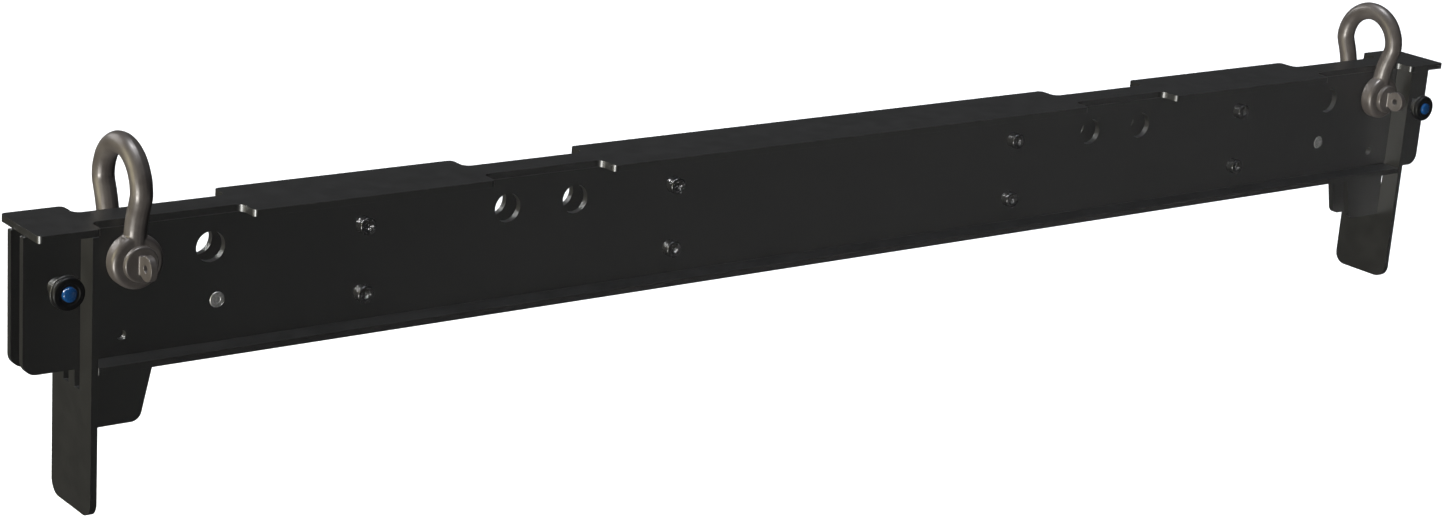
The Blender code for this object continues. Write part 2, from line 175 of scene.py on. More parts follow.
def evaluated_mesh(piece):
    bpy.context.view_layer.update()
    graph = bpy.context.evaluated_depsgraph_get()
    mesh = bpy.data.meshes.new_from_object(piece.evaluated_get(graph))
    mesh.transform(piece.matrix_world)
    bpy.data.objects.remove(piece, do_unlink=True)
    return mesh


def weld(mesh):
    work = bmesh.new()
    work.from_mesh(mesh)
    bmesh.ops.remove_doubles(work, verts=work.verts, dist=MERGE_DISTANCE)
    bmesh.ops.recalc_face_normals(work, faces=work.faces)
    work.to_mesh(mesh)
    work.free()
    return mesh


def with_bevel(mesh, width):
    """The mesh with its sharp edges rolled over."""
    piece = work_object("bevel_work", mesh)
    bevel = piece.modifiers.new("Bevel", "BEVEL")
    bevel.width = width
    bevel.segments = 3
    bevel.limit_method = "ANGLE"
    bevel.angle_limit = math.radians(40)
    bevel.loop_slide = False
    bevel.use_clamp_overlap = True
    return evaluated_mesh(piece)


def sheet_mesh(outline, thickness, holes=(), edge=0.0):
    """A flat plate cut to an outline, centred on its own thickness, with rolled edges."""
    curve = bpy.data.curves.new("sheet_work", "CURVE")
    curve.dimensions = "2D"
    curve.fill_mode = "BOTH"
    curve.extrude = thickness / 2
    for points in (outline, *holes):
        spline = curve.splines.new("POLY")
        spline.points.add(len(points) - 1)
        spline.use_cyclic_u = True
        for point, (x, y) in zip(spline.points, points):
            point.co = (x, y, 0, 1)
    mesh = weld(evaluated_mesh(work_object("sheet_work", curve)))
    return with_bevel(mesh, edge) if edge else mesh


def turned_mesh(profile, sides=ROUND_SIDES, closed=False):
    """A lathe shape about +Z from (radius, height) points, listed from the top down its outside."""
    mesh = bpy.data.meshes.new("turned_work")
    edges = [(index, index + 1) for index in range(len(profile) - 1)]
    if closed:
        edges.append((len(profile) - 1, 0))
    mesh.from_pydata([(radius, 0, height) for radius, height in profile], edges, [])
    piece = work_object("turned_work", mesh)
    screw = piece.modifiers.new("Turn", "SCREW")
    screw.axis = "Z"
    screw.angle = math.tau
    screw.steps = sides
    screw.render_steps = sides
    screw.use_merge_vertices = True
    screw.merge_threshold = MERGE_DISTANCE
    return weld(evaluated_mesh(piece))


def lathed(corners, steps, sides=ROUND_SIDES, closed=False):
    """A lathe shape about +Z from (radius, height, rounding) corners."""
    points = rounded(corners, steps, closed)
    return turned_mesh([tuple(point) for point in points], sides, closed)


def tube_mesh(path, radius):
    curve = bpy.data.curves.new("tube_work", "CURVE")
    curve.dimensions = "3D"
    curve.bevel_depth = radius
    curve.bevel_resolution = 8
    curve.use_fill_caps = True
    spline = curve.splines.new("POLY")
    spline.points.add(len(path) - 1)
    for point, place in zip(spline.points, path):
        point.co = (*place, 1)
    return weld(evaluated_mesh(work_object("tube_work", curve)))


def joined(meshes):
    work = bmesh.new()
    for mesh in meshes:
        work.from_mesh(mesh)
    result = bpy.data.meshes.new("joined_work")
    work.to_mesh(result)
    work.free()
    return result


def combined(base, tool, operation):
    """The Boolean result of two closed meshes."""
    piece = work_object("base_work", base)
    cutter = work_object("tool_work", tool)
    boolean = piece.modifiers.new("Boolean", "BOOLEAN")
    boolean.operation = operation
    boolean.object = cutter
    mesh = evaluated_mesh(piece)
    bpy.data.objects.remove(cutter, do_unlink=True)
    return mesh


def fused(meshes, voxel, passes):
    """Overlapping closed meshes melted into one skin, with soft blends where they meet."""
    piece = work_object("fuse_work", joined(meshes))
    remesh = piece.modifiers.new("Remesh", "REMESH")
    remesh.mode = "VOXEL"
    remesh.voxel_size = voxel
    smooth = piece.modifiers.new("Smooth", "SMOOTH")
    smooth.factor = 0.5
    smooth.iterations = passes
    return evaluated_mesh(piece)


def displaced(mesh, push):
    """Every vertex moved along its normal by push(place)."""
    normals = [vertex.normal.copy() for vertex in mesh.vertices]
    places = [vertex.co.copy() for vertex in mesh.vertices]
    for vertex, normal, place in zip(mesh.vertices, normals, places):
        vertex.co = place + normal * push(place)
    return mesh


def placed(mesh, matrix):
    mesh.transform(matrix)
    return mesh


def shade(mesh, smooth_degrees=35):
    """Smooth shading with creases at sharp edges, and broad faces kept flat up to their edges."""
    mesh.polygons.foreach_set("use_smooth", [True] * len(mesh.polygons))
    work = bmesh.new()
    work.from_mesh(mesh)
    limit = math.radians(smooth_degrees)
    for edge in work.edges:
        edge.smooth = len(edge.link_faces) == 2 and edge.calc_face_angle(0) <= limit
    work.to_mesh(mesh)
    work.free()
    piece = work_object("shade_work", mesh)
    weighted = piece.modifiers.new("Weighted", "WEIGHTED_NORMAL")
    weighted.mode = "FACE_AREA"
    weighted.weight = 90
    weighted.keep_sharp = True
    return evaluated_mesh(piece)


def add_piece(name, mesh, finish, body, node, place, smooth_degrees=35):
    """A copy of the mesh moved to its place, with its finish, its body and the node it stands for."""
    mesh = shade(mesh.copy(), smooth_degrees)
    mesh.name = name
    mesh.transform(Matrix.Translation(place))
    mesh.materials.clear()
    mesh.materials.append(finish)
    piece = bpy.data.objects.new(name, mesh)
    bpy.context.scene.collection.objects.link(piece)
    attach(piece, body)
    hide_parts(node)


# ---- finishes -------------------------------------------------------------------------------

class Finish:
    """A Principled material built from a few node helpers, in object coordinates."""

    def __init__(self, name, roughness, metallic=0.0, specular=0.5):
        self.material = bpy.data.materials.new(name)
        self.material.use_nodes = True
        self.nodes = self.material.node_tree.nodes
        self.links = self.material.node_tree.links
        self.shader = self.nodes["Principled BSDF"]
        self.shader.inputs["Roughness"].default_value = roughness
        self.shader.inputs["Metallic"].default_value = metallic
        self.shader.inputs["Specular IOR Level"].default_value = specular
        self.place = self.nodes.new("ShaderNodeTexCoord").outputs["Object"]

    def stretched(self, scale):
        mapping = self.nodes.new("ShaderNodeMapping")
        mapping.inputs["Scale"].default_value = scale
        self.links.new(self.place, mapping.inputs["Vector"])
        return mapping.outputs["Vector"]

    def noise(self, scale, detail=3.0, roughness=0.55, vector=None):
        node = self.nodes.new("ShaderNodeTexNoise")
        node.inputs["Scale"].default_value = scale
        node.inputs["Detail"].default_value = detail
        node.inputs["Roughness"].default_value = roughness
        self.links.new(vector or self.place, node.inputs["Vector"])
        return node.outputs["Fac"]

    def ramp(self, value, low, high, to_low=0.0, to_high=1.0):
        node = self.nodes.new("ShaderNodeMapRange")
        node.interpolation_type = "SMOOTHSTEP"
        node.inputs["From Min"].default_value = low
        node.inputs["From Max"].default_value = high
        node.inputs["To Min"].default_value = to_low
        node.inputs["To Max"].default_value = to_high
        self.links.new(value, node.inputs["Value"])
        return node.outputs["Result"]

    def math(self, operation, first, second):
        node = self.nodes.new("ShaderNodeMath")
        node.operation = operation
        for socket, value in zip(node.inputs, (first, second)):
            if isinstance(value, (int, float)):
                socket.default_value = value
            else:
                self.links.new(value, socket)
        return node.outputs["Value"]

    def mix(self, factor, first, second):
        node = self.nodes.new("ShaderNodeMix")
        node.data_type = "RGBA"
        self.links.new(factor, node.inputs["Factor"])
        for socket, value in ((node.inputs["A"], first), (node.inputs["B"], second)):
            if isinstance(value, tuple):
                socket.default_value = (*value, 1.0)
            else:
                self.links.new(value, socket)
        return node.outputs["Result"]

    def worn_edges(self, radius, patches, low, high, most):
        """A mask that is up to `most` along edges, broken up by the patches' noise."""
        bevel = self.nodes.new("ShaderNodeBevel")
        bevel.samples = 6
        bevel.inputs["Radius"].default_value = radius
        surface = self.nodes.new("ShaderNodeNewGeometry").outputs["Normal"]
        dot = self.nodes.new("ShaderNodeVectorMath")
        dot.operation = "DOT_PRODUCT"
        self.links.new(bevel.outputs["Normal"], dot.inputs[0])
        self.links.new(surface, dot.inputs[1])
        edge = self.ramp(dot.outputs["Value"], 0.80, 0.995, 1.0, 0.0)
        return self.math("MULTIPLY", edge, self.ramp(patches, low, high, 0.0, most))

    def color(self, output):
        self.links.new(output, self.shader.inputs["Base Color"])

    def roughness(self, output):
        self.links.new(output, self.shader.inputs["Roughness"])

    def bump(self, height, distance, strength=1.0, under=None):
        node = self.nodes.new("ShaderNodeBump")
        node.inputs["Distance"].default_value = distance
        node.inputs["Strength"].default_value = strength
        self.links.new(height, node.inputs["Height"])
        if under:
            self.links.new(under, node.inputs["Normal"])
        self.links.new(node.outputs["Normal"], self.shader.inputs["Normal"])
        return node.outputs["Normal"]


def black_coating():
    """Satin black powder coat: fine grain, faint mottling, and rubbed, chipped edges."""
    finish = Finish("black_powder_coat", 0.36, specular=0.5)
    mottle = finish.ramp(finish.noise(14, 4), 0.35, 0.65)
    tone = finish.mix(mottle, (0.0054, 0.0054, 0.0053), (0.0066, 0.0065, 0.0064))
    dust = finish.ramp(finish.noise(420, 2), 0.67, 0.76, 0.0, 0.3)
    tone = finish.mix(dust, tone, (0.015, 0.0148, 0.0145))
    scuffs = finish.ramp(finish.noise(55, 5, 0.7), 0.68, 0.78, 0.0, 0.35)
    tone = finish.mix(scuffs, tone, (0.013, 0.0128, 0.0125))
    rubbed = finish.worn_edges(0.9 * MM, finish.noise(130, 4), 0.42, 0.66, 0.75)
    finish.color(finish.mix(rubbed, tone, (0.030, 0.029, 0.028)))
    satin = finish.ramp(finish.noise(60, 4), 0.3, 0.7, 0.34, 0.40)
    finish.roughness(finish.math("SUBTRACT", satin, finish.math("MULTIPLY", rubbed, 0.05)))
    grain = finish.bump(finish.noise(1500, 2), 0.05 * MM, 0.35)
    finish.bump(finish.noise(180, 2), 0.04 * MM, 0.25, grain)
    return finish.material


def forged_steel():
    """Grey-brown forged steel with a satin skin, burnished on its edges."""
    finish = Finish("forged_steel", 0.40, metallic=0.35, specular=0.42)
    patches = finish.ramp(finish.noise(60, 5), 0.34, 0.66)
    tone = finish.mix(patches, (0.053, 0.046, 0.043), (0.072, 0.064, 0.060))
    specks = finish.ramp(finish.noise(620, 2), 0.68, 0.75, 0.0, 0.35)
    tone = finish.mix(specks, tone, (0.040, 0.033, 0.031))
    rub_noise = finish.noise(160, 3, 0.6, finish.stretched((1.0, 2.5, 0.6)))
    rubs = finish.ramp(rub_noise, 0.66, 0.76, 0.0, 0.3)
    tone = finish.mix(rubs, tone, (0.105, 0.096, 0.091))
    burnished = finish.worn_edges(1.2 * MM, finish.noise(300, 3), 0.35, 0.65, 0.6)
    finish.color(finish.mix(burnished, tone, (0.135, 0.126, 0.120)))
    finish.roughness(finish.ramp(finish.noise(200, 3), 0.3, 0.7, 0.36, 0.45))
    coarse = finish.bump(finish.noise(380, 3), 0.08 * MM, 0.3)
    finish.bump(finish.noise(1600, 2), 0.02 * MM, 0.4, coarse)
    return finish.material


def zinc():
    """Dull grey zinc plating, brighter where its edges are rubbed."""
    finish = Finish("zinc_plating", 0.46, metallic=0.8)
    cloudy = finish.ramp(finish.noise(500, 3), 0.3, 0.7)
    tone = finish.mix(cloudy, (0.20, 0.20, 0.20), (0.34, 0.34, 0.33))
    rubbed = finish.worn_edges(0.4 * MM, finish.noise(900, 3), 0.35, 0.6, 0.6)
    finish.color(finish.mix(rubbed, tone, (0.52, 0.52, 0.50)))
    finish.roughness(finish.ramp(finish.noise(900, 2), 0.3, 0.7, 0.40, 0.54))
    finish.bump(finish.noise(2500, 2), 0.02 * MM, 0.6)
    return finish.material


def blackened_steel():
    """Black oxide on the socket screws, worn thin along edges such as the socket's mouth."""
    finish = Finish("black_oxide", 0.24, metallic=0.8)
    mottle = finish.ramp(finish.noise(700, 3), 0.60, 0.72, 0.0, 0.5)
    tone = finish.mix(mottle, (0.040, 0.040, 0.041), (0.060, 0.059, 0.058))
    rubbed = finish.worn_edges(0.35 * MM, finish.noise(1100, 3), 0.42, 0.66, 0.6)
    finish.color(finish.mix(rubbed, tone, (0.11, 0.106, 0.10)))
    finish.roughness(finish.ramp(finish.noise(1200, 2), 0.3, 0.7, 0.21, 0.28))
    finish.bump(finish.noise(3000, 2), 0.015 * MM, 0.5)
    return finish.material


def bright_steel():
    """Dull machined steel of the lock pins, with fine turning marks round the pin."""
    finish = Finish("bright_steel", 0.4, metallic=1.0)
    marks = finish.noise(1, 2, 0.5, finish.stretched((40.0, 6000.0, 40.0)))
    tone = finish.mix(finish.ramp(marks, 0.3, 0.7), (0.044, 0.044, 0.044), (0.062, 0.062, 0.060))
    rubbed = finish.worn_edges(0.35 * MM, finish.noise(900, 3), 0.35, 0.65, 0.5)
    finish.color(finish.mix(rubbed, tone, (0.13, 0.13, 0.127)))
    finish.roughness(finish.ramp(finish.noise(400, 3), 0.3, 0.7, 0.36, 0.48))
    finish.bump(marks, 0.01 * MM, 0.5)
    return finish.material


def black_plastic():
    """Moulded black plastic with a fine spark-eroded grain, paler on its rim from handling."""
    finish = Finish("black_plastic", 0.46, specular=0.12)
    cloudy = finish.ramp(finish.noise(300, 3), 0.3, 0.7)
    tone = finish.mix(cloudy, (0.0030, 0.0030, 0.0033), (0.0048, 0.0048, 0.0051))
    handled = finish.worn_edges(0.6 * MM, finish.noise(600, 3), 0.40, 0.66, 0.5)
    finish.color(finish.mix(handled, tone, (0.011, 0.011, 0.0115)))
    finish.roughness(finish.ramp(finish.noise(900, 2), 0.3, 0.7, 0.40, 0.52))
    finish.bump(finish.noise(2200, 2), 0.02 * MM, 0.5)
    return finish.material


def blue_anodised():
    """Glossy blue anodising, a little paler round its rubbed edge."""
    finish = Finish("blue_anodised", 0.24, specular=0.4)
    cloudy = finish.ramp(finish.noise(500, 3), 0.3, 0.7)
    tone = finish.mix(cloudy, (0.0030, 0.030, 0.100), (0.0040, 0.038, 0.125))
    rubbed = finish.worn_edges(0.3 * MM, finish.noise(1200, 3), 0.42, 0.66, 0.5)
    finish.color(finish.mix(rubbed, tone, (0.02, 0.06, 0.20)))
    finish.roughness(finish.ramp(finish.noise(1400, 2), 0.3, 0.7, 0.20, 0.28))
    finish.bump(finish.noise(3000, 2), 0.01 * MM, 0.4)
    return finish.material


# ---- plates ---------------------------------------------------------------------------------

def build_top_plate(finish):
    first, second, third, fourth = WIDTH_CHANGES
    front = [
        (first, -WIDE_HALF, CONVEX_RADIUS),
        (first, -NARROW_HALF, CONCAVE_RADIUS),
        (second, -NARROW_HALF, CONCAVE_RADIUS),
        (second, -WIDE_HALF, CONVEX_RADIUS),
        (third, -WIDE_HALF, CONVEX_RADIUS),
        (third, -NARROW_HALF, CONCAVE_RADIUS),
        (fourth, -NARROW_HALF, CONCAVE_RADIUS),
        (fourth, -WIDE_HALF, CONVEX_RADIUS),
        (TOP_HIGH.x, -WIDE_HALF, CONVEX_RADIUS),
    ]
    back = [(x, -y, radius) for x, y, radius in reversed(front)]
    mesh = sheet_mesh(rounded(mirrored(front + back)), PLATE, edge=EDGE)
    place = (0, 0, (TOP_LOW.z + TOP_HIGH.z) / 2)
    add_piece("top_plate_coated", mesh, finish, "beam", "top_plate", place)


def side_plate_holes():
    holes = []
    for side in SIDES.values():
        for x in (*SPARE_HOLES_X, SHACKLE_PIN.x):
            holes.append(ring(side * x, SHACKLE_PIN.z, SHACKLE_HOLE_RADIUS))
        for x in SCREW_X:
            for z in SCREW_Z:
                holes.append(ring(side * x, z, SCREW_HOLE_RADIUS, SCREW_HOLE_SIDES))
        cross_radius = CROSS_PIN_RADIUS + GAP
        holes.append(ring(side * CROSS_PIN.x, CROSS_PIN.z, cross_radius, SMALL_HOLE_SIDES))
        lanyard_x = side * LANYARD_HOLE_X
        holes.append(ring(lanyard_x, LANYARD_HOLE_Z, LANYARD_HOLE_RADIUS, SCREW_HOLE_SIDES))
        holes.append(ring(side * LOCK_PIN.x, LOCK_PIN.z, LOCK_HOLE_RADIUS, SMALL_HOLE_SIDES))
    return holes


def build_side_plates(finish):
    half = [
        (WEB_HIGH.x, WEB_HIGH.z, EDGE),
        (WEB_HIGH.x, SIDE_BOTTOM_Z, SIDE_END_RADIUS),
        (LEG_INNER_X, SIDE_BOTTOM_Z, EDGE),
        (LEG_INNER_X, WEB_LOW.z, EDGE),
        (GUSSET_FOOT_X, WEB_LOW.z, GUSSET_RADIUS),
        (GUSSET_TOP_X, SIDE_BOTTOM_Z, GUSSET_FILLET),
    ]
    mesh = sheet_mesh(rounded(mirrored(half)), PLATE, side_plate_holes(), EDGE)
    placed(mesh, UPRIGHT_XZ)
    for name, side in (("front", -1), ("back", 1)):
        place = (0, side * (SIDE_OUTER_Y + SIDE_INNER_Y) / 2, 0)
        node = name + "_side_plate"
        add_piece(node + "_coated", mesh, finish, "beam", node, place)


def build_flanges(finish):
    half_width = (FLANGE_HIGH.y - FLANGE_LOW.y) / 2
    corners = ((-1, -1), (1, -1), (1, 1), (-1, 1))
    outline = rounded([(x * FLANGE_HIGH.x, y * half_width, EDGE) for x, y in corners])
    mesh = sheet_mesh(outline, PLATE, edge=EDGE)
    for name in ("front", "back"):
        node = name + "_flange"
        add_piece(node + "_coated", mesh, finish, "beam", node, middle(node))


def build_legs(finish):
    half = [
        (WIDE_HALF, LEG_LOW.z, LEG_RADIUS),
        (WIDE_HALF, LEG_HIGH.z, EDGE),
        (SLOT_OUTER_Y, LEG_HIGH.z, EDGE),
        (SLOT_OUTER_Y, SLOT_BOTTOM_Z, EDGE),
        (SLOT_INNER_Y, SLOT_BOTTOM_Z, EDGE),
        (SLOT_INNER_Y, LEG_HIGH.z, EDGE),
    ]
    mesh = placed(sheet_mesh(rounded(mirrored(half)), PLATE, edge=EDGE), UPRIGHT_YZ)
    for name, side in SIDES.items():
        node = name + "_leg"
        place = (side * LEG_X, 0, 0)
        add_piece(node + "_coated", mesh, finish, "beam", node, place)


# ---- screws, nuts, washers and spacers ----------------------------------------------------------

HEAD_RADIUS = 6.5 * MM
HEAD_HEIGHT = 8 * MM
HEAD_EDGE = 0.9 * MM
HEAD_SIDES = 192
SEAT_EDGE = 0.3 * MM
PLAIN_SHANK = 6 * MM
THREAD_RADIUS = 4 * MM
THREAD_PITCH = 1.25 * MM
THREAD_DEPTH = 0.65 * MM
SOCKET_FLATS = 6 * MM
SOCKET_DEPTH = 4 * MM
MOUTH_DEPTH = 0.75 * MM      # cone at the socket's mouth
MOUTH_RADIUS = 3.95 * MM
MOUTH_FOOT_RADIUS = 3.0 * MM
OVERSHOOT = 0.2 * MM         # how far a cutter stands out of what it cuts
WASHER_EDGE = 0.25 * MM
SPACER_EDGE = 0.6 * MM
NUT_RIM = 0.97               # flat ring on a nut's end, as a part of its width over flats
NUT_CHAMFER_DEGREES = 30
NUT_COUNTERSINK = 0.7 * MM


def threaded_profile(top, end):
    """The shank's outline from under the head down a ringed thread to its chamfered end."""
    height = top - PLAIN_SHANK
    points = [(THREAD_RADIUS, top), (THREAD_RADIUS, height)]
    while height - THREAD_PITCH > end + THREAD_PITCH:
        points.append((THREAD_RADIUS - THREAD_DEPTH, height - THREAD_PITCH * 0.5))
        height -= THREAD_PITCH
        points.append((THREAD_RADIUS, height))
    points.append((THREAD_RADIUS, end + THREAD_DEPTH))
    points.append((THREAD_RADIUS - THREAD_DEPTH, end))
    return points


def screw_mesh(seat, end):
    """A socket head screw about +Z, from the height of its head's seat down to its end."""
    top = seat + HEAD_HEIGHT
    corners = [
        (0, top, 0),
        (HEAD_RADIUS, top, HEAD_EDGE),
        (HEAD_RADIUS, seat, SEAT_EDGE),
        (0, seat, 0),
    ]
    root = seat + 1 * MM
    shank = [(0, root), (THREAD_RADIUS, root), *threaded_profile(seat, end), (0, end)]
    mesh = combined(lathed(corners, 5, HEAD_SIDES), turned_mesh(shank, 48), "UNION")
    socket = sheet_mesh(hexagon(SOCKET_FLATS), 2 * SOCKET_DEPTH)
    mesh = combined(mesh, placed(socket, Matrix.Translation((0, 0, top))), "DIFFERENCE")
    cone = [
        (0, top + OVERSHOOT),
        (MOUTH_RADIUS, top + OVERSHOOT),
        (MOUTH_FOOT_RADIUS, top - MOUTH_DEPTH),
        (0, top - MOUTH_DEPTH),
    ]
    return combined(mesh, turned_mesh(cone, 48), "DIFFERENCE")


def sleeve_mesh(node, edge):
    """A washer or spacer round a screw's shank, as long and wide as its node's box."""
    low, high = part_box(node)
    inner = SCREW_HOLE_RADIUS
    outer = (high.x - low.x) / 2
    top = -low.y
    bottom = -high.y
    corners = [(inner, top, edge), (outer, top, edge), (outer, bottom, edge), (inner, bottom, edge)]
    return lathed(corners, 3, closed=True)


def nut_mesh(flats, height, bore):
    """A hexagon whose corners are turned down at both ends, with a countersunk bore."""
    block = sheet_mesh(hexagon(flats), height)
    clear = 0.1 * MM
    corner = flats / math.sqrt(3)
    rim = flats / 2 * NUT_RIM
    drop = (corner - rim) * math.tan(math.radians(NUT_CHAMFER_DEGREES))
    half = height / 2
    wide = corner + clear
    barrel = [(0, half), (rim, half), (wide, half - drop), (wide, drop - half), (rim, -half), (0, -half)]
    mesh = combined(block, turned_mesh(barrel, 72), "INTERSECT")
    over = half + clear
    mouth = bore + NUT_COUNTERSINK
    neck = half - NUT_COUNTERSINK
    drill = [(0, over), (mouth, over), (bore, neck), (bore, -neck), (mouth, -over), (0, -over)]
    return combined(mesh, turned_mesh(drill, 48), "DIFFERENCE")


def build_screws(black, plated):
    screw_low, screw_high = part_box("right_outer_upper_screw")
    nut_low, nut_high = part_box("right_outer_upper_nut")
    nut = nut_mesh(nut_high.z - nut_low.z, nut_high.y - nut_low.y, SCREW_HOLE_RADIUS - GAP)
    placed(nut, Matrix.Translation((0, 0, -(nut_low.y + nut_high.y) / 2)))
    screw = screw_mesh(-screw_low.y - HEAD_HEIGHT, -screw_high.y)
    kinds = {
        "screw": (screw, black, "blackened_screw"),
        "washer": (sleeve_mesh("right_outer_upper_washer", WASHER_EDGE), plated, "zinc"),
        "spacer": (sleeve_mesh("right_outer_upper_spacer", SPACER_EDGE), plated, "zinc"),
        "nut": (nut, plated, "zinc"),
    }
    for kind, (mesh, finish, slot) in kinds.items():
        placed(mesh, UPRIGHT_XZ)
        for side in SIDES:
            for column in ("outer", "inner"):
                for row in ("upper", "lower"):
                    node = f"{side}_{column}_{row}_{kind}"
                    centre = middle(node)
                    place = (centre.x, 0, centre.z)
                    add_piece(node + "_detailed", mesh, finish, "beam", node, place)


DIMPLE_FLOOR_RADIUS = 2.4 * MM
DIMPLE_RIM_RADIUS = 2.8 * MM
DIMPLE_DEPTH = 0.35 * MM
DIMPLE_EDGE = 0.2 * MM
CROSS_PIN_EDGE = 0.7 * MM


def build_cross_pins(finish):
    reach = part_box("right_cross_pin")[1].y
    half = [
        (0, reach - DIMPLE_DEPTH, 0),
        (DIMPLE_FLOOR_RADIUS, reach - DIMPLE_DEPTH, DIMPLE_EDGE),
        (DIMPLE_RIM_RADIUS, reach, DIMPLE_EDGE),
        (CROSS_PIN_RADIUS, reach, CROSS_PIN_EDGE),
    ]
    other_half = [(radius, -height, edge) for radius, height, edge in reversed(half)]
    mesh = placed(lathed(half + other_half, 4), UPRIGHT_XZ)
    for name in SIDES:
        node = name + "_cross_pin"
        add_piece(node + "_turned", mesh, finish, "beam", node, middle(node))


# ---- shackles -------------------------------------------------------------------------------

ROD_RADIUS = 8 * MM
BOW_RADIUS = 28.4 * MM
BOW_CENTRE_Z = 48 * MM
LIMB_LEAVE = 6 * MM
LIMB_ARRIVE_Z = 32 * MM
LIMB_START_Z = 12 * MM
EYE_RADIUS = 19.3 * MM
EYE_INNER_Y = 13 * MM
EYE_OUTER_Y = 27 * MM
EYE_EDGE = 4 * MM
SHACKLE_PIN_RADIUS = 9.5 * MM
SHACKLE_BORE_RADIUS = 9.9 * MM
COLLAR_RADIUS = 12.5 * MM
COLLAR_THICKNESS = 4.5 * MM
TAB_RADIUS = 8.8 * MM
TAB_CENTRE_Y = 40.5 * MM
TAB_ROOT_HALF = 6.5 * MM
TAB_THICKNESS = 5 * MM
TAB_HOLE_RADIUS = 2.5 * MM
TAB_EDGE = 1.0 * MM
BLEND_LOSS = 0.2 * MM        # what melting the tab to its collar takes off the hole's radius
SEAM_HEIGHT = 0.22 * MM      # flash line left where the two forging dies met
SEAM_HALF = 0.8 * MM
SEAM_PATCH = 3 * MM
HOLLOW_DEPTH = 0.22 * MM
HOLLOW_PATCH = 8 * MM
SKIN_ALLOWANCE = 0.05 * MM   # keeps the bow's melted skin inside the rod's radius
BOW_VOXEL = 0.65 * MM
PIN_VOXEL = 0.4 * MM


def limb_path():
    """Centreline of one limb, from its eye up to where the bow's arc begins."""
    eye_y = (EYE_INNER_Y + EYE_OUTER_Y) / 2
    ends = (
        Vector((0, eye_y, LIMB_START_Z)),
        Vector((0, eye_y, LIMB_ARRIVE_Z)),
        Vector((0, BOW_RADIUS, BOW_CENTRE_Z - LIMB_LEAVE)),
        Vector((0, BOW_RADIUS, BOW_CENTRE_Z)),
    )
    steps = 18
    path = []
    for step in range(steps):
        t = step / steps
        weights = ((1 - t) ** 3, 3 * t * (1 - t) ** 2, 3 * t ** 2 * (1 - t), t ** 3)
        path.append(sum((end * weight for end, weight in zip(ends, weights)), Vector((0, 0, 0))))
    return path


def bow_path():
    """Centreline of the bow in its own plane, from one eye over the crown to the other."""
    limb = limb_path()
    steps = 60
    crown = []
    for step in range(steps + 1):
        angle = math.pi * step / steps
        crown.append(Vector((0, math.cos(angle), math.sin(angle))) * BOW_RADIUS)
        crown[-1].z += BOW_CENTRE_Z
    return limb + crown + [Vector((0, -point.y, point.z)) for point in reversed(limb)]


def eye_mesh(end):
    top, bottom = sorted((end * EYE_INNER_Y, end * EYE_OUTER_Y), reverse=True)
    corners = [(0, top, 0), (EYE_RADIUS, top, EYE_EDGE), (EYE_RADIUS, bottom, EYE_EDGE), (0, bottom, 0)]
    return placed(lathed(corners, 8), UPRIGHT_XZ)


def bore_mesh():
    reach = 2 * EYE_OUTER_Y
    drill = [(0, reach), (SHACKLE_BORE_RADIUS, reach), (SHACKLE_BORE_RADIUS, -reach), (0, -reach)]
    return placed(turned_mesh(drill), UPRIGHT_XZ)


def forged_push(place):
    """Hollows left by the dies, and a broken flash line along the bow's own plane."""
    hollow = (noise.noise(place / HOLLOW_PATCH) * 0.5 - 0.5) * HOLLOW_DEPTH
    nearness = max(0.0, 1 - abs(place.x) / SEAM_HALF) if place.z > LIMB_START_Z else 0.0
    return hollow + SEAM_HEIGHT * nearness * (0.6 + 0.4 * noise.noise(place / SEAM_PATCH))


def bow_mesh():
    parts = [tube_mesh(bow_path(), ROD_RADIUS - SKIN_ALLOWANCE), eye_mesh(-1), eye_mesh(1)]
    skin = displaced(fused(parts, BOW_VOXEL, 7), forged_push)
    return combined(skin, bore_mesh(), "DIFFERENCE")


def tab_mesh(root):
    """The flat holed tab of a screw pin, with straight flanks from its root to a round end."""
    centre = -TAB_CENTRE_Y
    first = math.asin(TAB_ROOT_HALF / TAB_RADIUS)
    steps = 64
    outline = [Vector((root, -TAB_ROOT_HALF)), Vector((root, TAB_ROOT_HALF))]
    for step in range(steps + 1):
        angle = first + (math.tau - 2 * first) * step / steps
        outline.append(Vector((centre + TAB_RADIUS * math.cos(angle), TAB_RADIUS * math.sin(angle))))
    hole = ring(centre, 0, TAB_HOLE_RADIUS + BLEND_LOSS, 36)
    return placed(sheet_mesh(outline, TAB_THICKNESS, [hole], TAB_EDGE), UPRIGHT_YZ)


def shackle_pin_mesh():
    seat = EYE_OUTER_Y + GAP
    tip = -EYE_OUTER_Y - 1 * MM
    front = seat + COLLAR_THICKNESS
    corners = [
        (0, front, 0),
        (COLLAR_RADIUS, front, 1.4 * MM),
        (COLLAR_RADIUS, seat, 0.5 * MM),
        (SHACKLE_PIN_RADIUS, seat, 0.3 * MM),
        (SHACKLE_PIN_RADIUS, tip, 1.2 * MM),
        (0, tip, 0),
    ]
    body = placed(lathed(corners, 5), UPRIGHT_XZ)
    tab = tab_mesh(-front + COLLAR_THICKNESS / 2)
    return fused([body, tab], PIN_VOXEL, 3)


def build_shackles(finish):
    bow = bow_mesh()
    pin = shackle_pin_mesh()
    for name, side in SIDES.items():
        pivot = (side * SHACKLE_PIN.x, 0, SHACKLE_PIN.z)
        node = name + "_shackle_bow"
        body = name + "_shackle"
        add_piece(node + "_forged", bow, finish, body, node, pivot, 50)
        node = name + "_shackle_pin"
        body = name + "_shackle_screw_pin"
        add_piece(node + "_forged", pin, finish, body, node, pivot, 60)


# ---- quick-release lock pins ------------------------------------------------------------------

